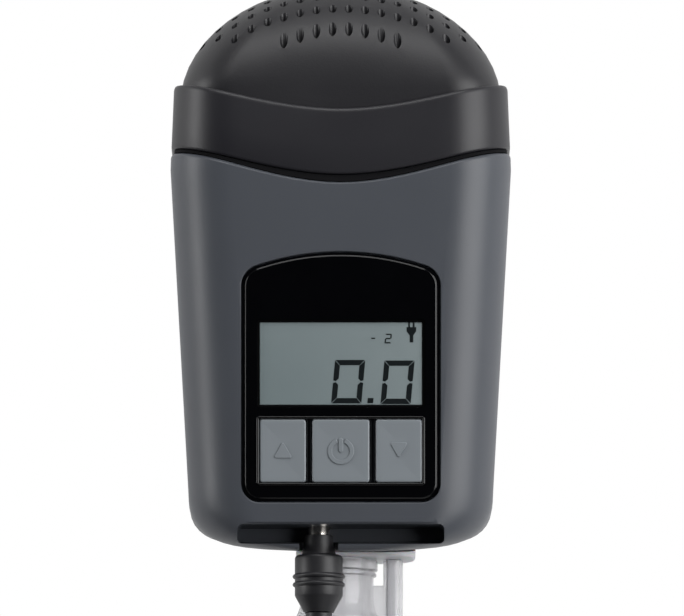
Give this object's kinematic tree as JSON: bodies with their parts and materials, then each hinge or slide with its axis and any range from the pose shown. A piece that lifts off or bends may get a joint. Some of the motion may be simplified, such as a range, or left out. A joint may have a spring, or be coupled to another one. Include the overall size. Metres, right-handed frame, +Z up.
{
  "type": "travel positive airway pressure machine",
  "caption": "Small wedge-shaped breathing-pressure machine with a display and keys on its front, a perforated filter cap, a hose adapter and a power lead.",
  "frame": {"origin": "centre of the footprint of machine and adapter, lead left out, on the table", "axes": "+Z up through the display as the machine lies on its feet, +Y from the hose adapter to the filter cap, +X to the right as the display is read"},
  "size_m": [0.0962, 0.2739, 0.0509],
  "materials": {
    "grey_case": "fine satin, moulded",
    "black_cap": "matt, moulded",
    "gloss_black": "polished",
    "clear": "clear moulded plastic",
    "lcd_green": "liquid crystal display",
    "key_grey": "satin",
    "plastic_white": "satin",
    "plastic_black": "satin",
    "board_green": "solder mask on glass fibre",
    "steel": "plain",
    "copper": "enamelled copper wire on iron",
    "rubber": "soft, matt",
    "silicone": "soft silicone",
    "foam": "open cell foam or hook-and-loop strap",
    "filter_white": "felted fibre",
    "collar_grey": "soft, satin"
  },
  "bodies": {
    "housing": {"front_case": "grey_case", "rear_case": "grey_case", "display_fascia": "gloss_black", "display_lens": "clear", "lcd_module": "lcd_green", "lcd_holder": "plastic_white", "key_switch_up": "plastic_black", "key_switch_power": "plastic_black", "key_switch_down": "plastic_black", "blower_base": "plastic_black", "blower_cover": "plastic_black", "port_block": "plastic_black", "pressure_sensor": "plastic_black", "power_jack": "plastic_black", "inlet_frame": "plastic_black", "main_board": "board_green", "board_screw_1": "steel", "board_screw_2": "steel", "board_screw_3": "steel", "board_screw_4": "steel", "case_screw_1": "steel", "case_screw_2": "steel", "case_screw_3": "steel", "case_screw_4": "steel", "motor_can": "steel", "motor_cap": "steel", "bearing_lower": "steel", "bearing_upper": "steel", "motor_stator": "copper", "foot_1": "rubber", "foot_2": "rubber", "foot_3": "rubber", "foot_4": "rubber", "blower_mount": "silicone", "outlet_duct": "silicone", "port_seal": "silicone", "sensor_hose": "silicone", "cap_seal": "silicone", "muffler_foam": "foam"},
    "cap": {"cap_band": "black_cap", "dome_grille": "black_cap", "filter_pad": "filter_white"},
    "key_up": {"button_up": "key_grey"},
    "key_power": {"button_power": "key_grey"},
    "key_down": {"button_down": "key_grey"},
    "rotor": {"rotor_shaft": "steel", "impeller": "plastic_white"},
    "adapter": {"adapter_collar": "collar_grey", "hose_adapter": "clear"},
    "power_lead": {"plug_barrel": "steel", "plug_body": "rubber", "plug_relief": "rubber", "power_cord": "rubber", "cord_coil": "rubber", "cord_tie": "foam", "inline_socket": "rubber"}
  },
  "joints": [
    {"name": "cap_pull", "type": "slide", "parent": "housing", "child": "cap", "axis": [0, 1, 0], "range_m": [0, 0.04]},
    {"name": "key_up_press", "type": "slide", "parent": "housing", "child": "key_up", "axis": [0, 0.0635, -0.998], "range_m": [0, 0.0006], "stiffness_N_per_m": 600, "springref_m": -0.0002},
    {"name": "key_power_press", "type": "slide", "parent": "housing", "child": "key_power", "axis": [0, 0.0635, -0.998], "range_m": [0, 0.0006], "stiffness_N_per_m": 600, "springref_m": -0.0002},
    {"name": "key_down_press", "type": "slide", "parent": "housing", "child": "key_down", "axis": [0, 0.0635, -0.998], "range_m": [0, 0.0006], "stiffness_N_per_m": 600, "springref_m": -0.0002},
    {"name": "rotor_spin", "type": "hinge", "parent": "housing", "child": "rotor", "pos_m": [0.01516, -0.005, 0.018], "axis": [0, 0, 1], "continuous": true},
    {"name": "adapter_pull", "type": "slide", "parent": "housing", "child": "adapter", "axis": [0, -1, 0], "range_m": [0, 0.015]},
    {"name": "plug_pull", "type": "slide", "parent": "housing", "child": "power_lead", "axis": [0, -1, 0], "range_m": [0, 0.01]}
  ]
}
